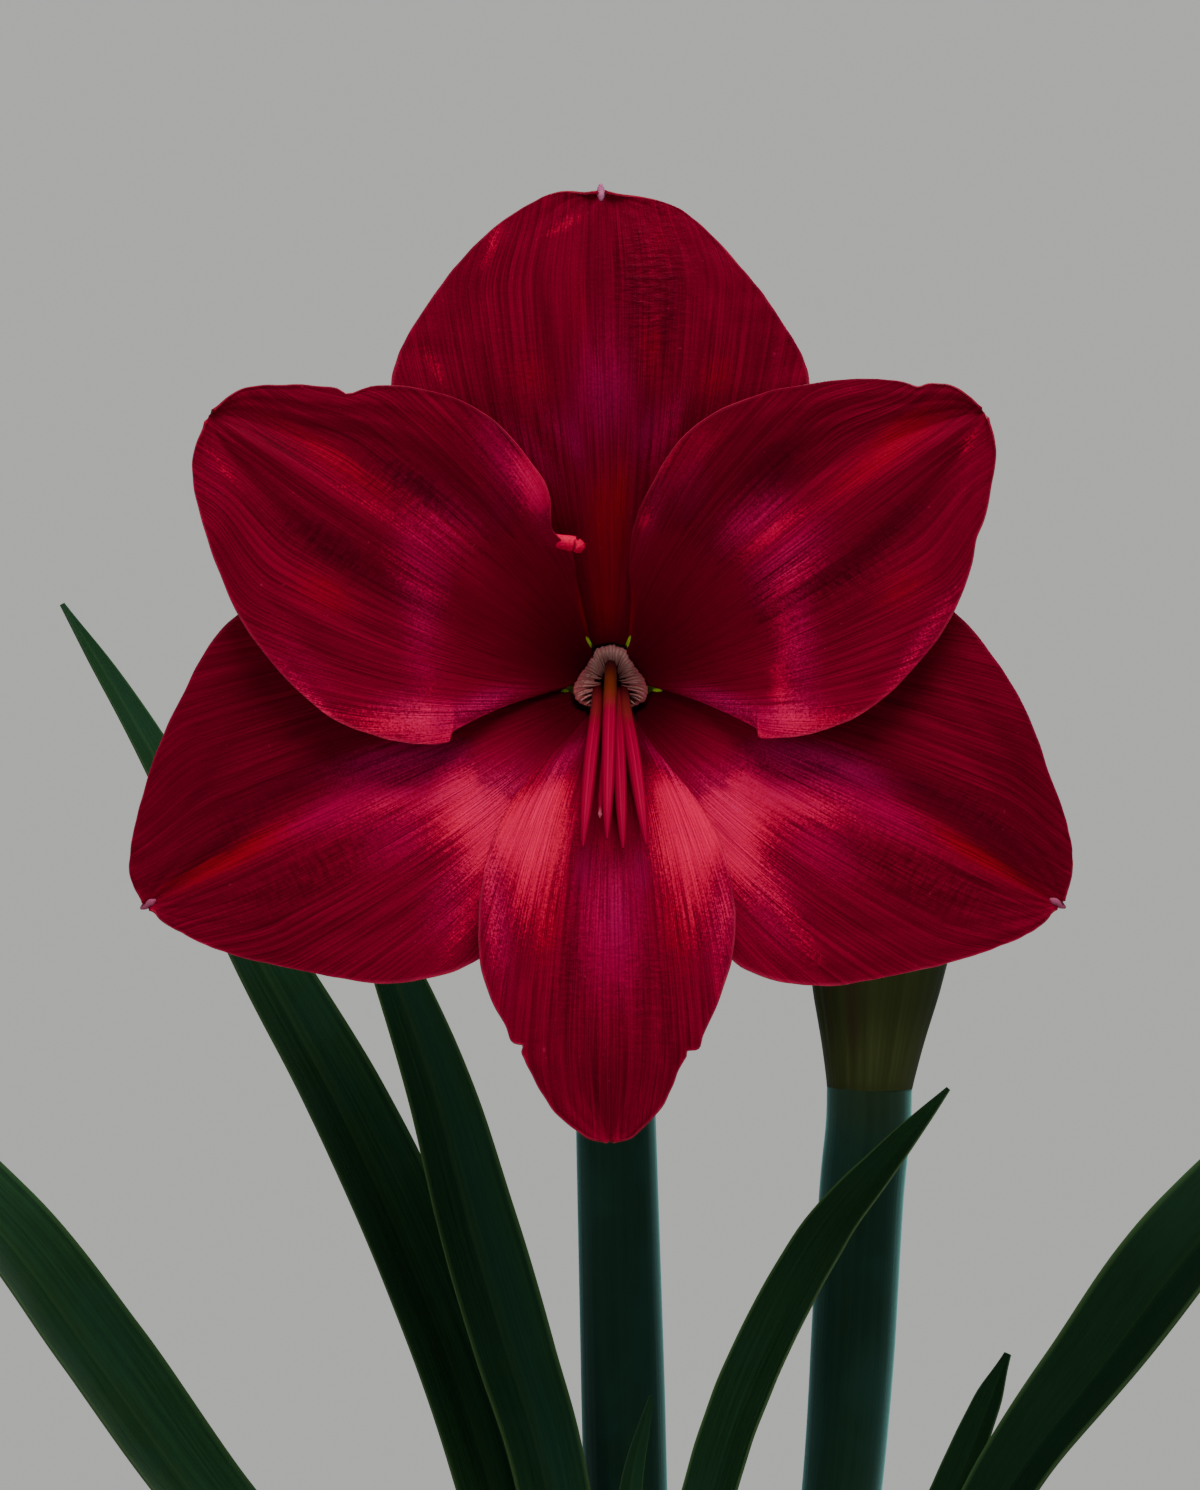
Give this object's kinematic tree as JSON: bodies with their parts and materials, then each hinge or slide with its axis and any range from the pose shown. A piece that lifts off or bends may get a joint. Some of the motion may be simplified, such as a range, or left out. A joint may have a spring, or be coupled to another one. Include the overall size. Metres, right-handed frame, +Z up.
{
  "type": "potted amaryllis",
  "caption": "Potted flowering bulb: an open funnel flower facing forward on a leafless stem, a closed bud on a second stem, and strap leaves rising from a bulb in a clay pot.",
  "frame": {"origin": "centre of the pot's underside, on the surface that the pot stands on", "axes": "+Z up the pot, along the whole plant's height; the flower faces -Y; +X to the right of someone who looks at the flower"},
  "size_m": [0.5409, 0.1813, 0.674],
  "materials": {
    "clay": "matte",
    "potting_mix": "matte",
    "bulb_skin": "satin",
    "root": "matte",
    "leaf": "satin",
    "stem": "satin",
    "bud": "satin",
    "bract": "matte",
    "tepal": "satin",
    "corona": "satin",
    "filament": "satin"
  },
  "bodies": {
    "root": {"pot": "clay", "soil": "potting_mix", "bulb": "bulb_skin", "roots": "root", "leaf_1": "leaf", "leaf_2": "leaf", "leaf_3": "leaf", "leaf_4": "leaf", "leaf_5": "leaf", "leaf_6": "leaf", "leaf_7": "leaf", "scape_bloom": "stem", "scape_bud": "stem", "bud_spathe": "bud", "spathe_valve_left": "bract", "spathe_valve_right": "bract", "flower_stalk": "stem", "tepal_top": "tepal", "tepal_upper_left": "tepal", "tepal_upper_right": "tepal", "tepal_lower_left": "tepal", "tepal_lower_right": "tepal", "tepal_bottom": "tepal", "corona": "corona", "stamens": "filament", "style": "filament"}
  },
  "joints": []
}
